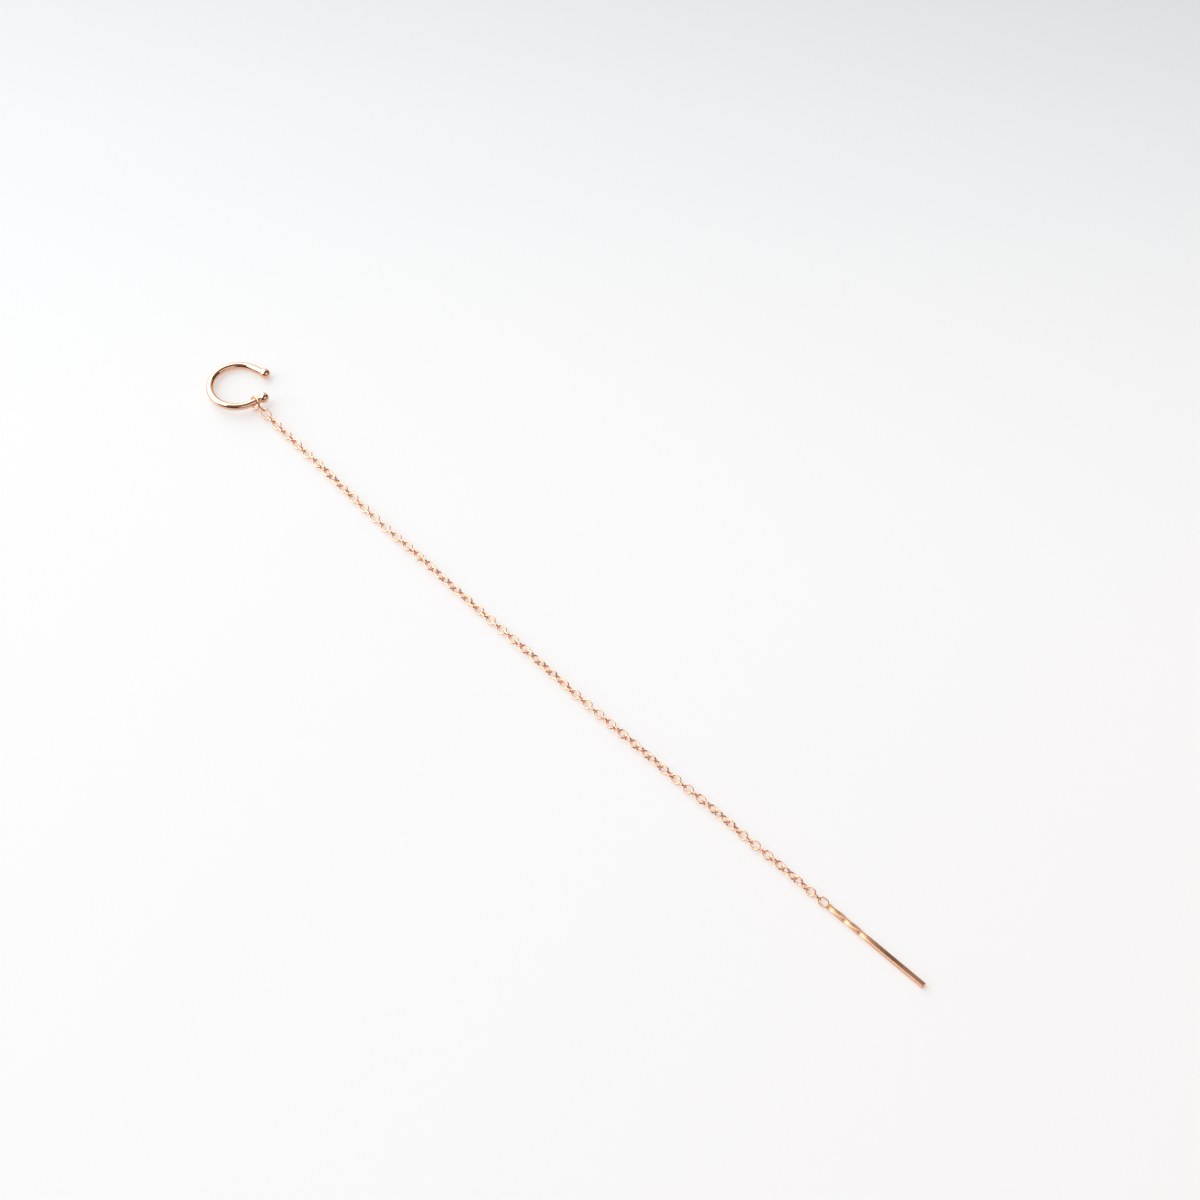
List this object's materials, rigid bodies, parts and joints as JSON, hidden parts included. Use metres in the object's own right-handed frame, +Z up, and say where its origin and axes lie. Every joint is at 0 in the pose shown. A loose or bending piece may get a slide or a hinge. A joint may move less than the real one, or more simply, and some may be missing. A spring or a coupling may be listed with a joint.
{
  "type": "threader earring",
  "caption": "Threader earring: an open ear cuff with ball ends, a jump ring, a fine cable chain and a square bar with a twisted upper part.",
  "frame": {"origin": "middle of the earring's footprint, on the surface that it lies on", "axes": "+X along the earring from the ear cuff to the tip of the bar, +Z up from the surface, +Y to the left of +X"},
  "size_m": [0.179, 0.0122, 0.0026],
  "materials": {
    "cuff_metal": "polished rose gold",
    "ring_metal": "polished rose gold",
    "chain_metal": "polished rose gold",
    "bar_metal": "polished rose gold"
  },
  "bodies": {
    "root": {"ear_cuff": "cuff_metal", "jump_ring": "ring_metal", "chain": "chain_metal", "threader_bar": "bar_metal"}
  },
  "joints": []
}
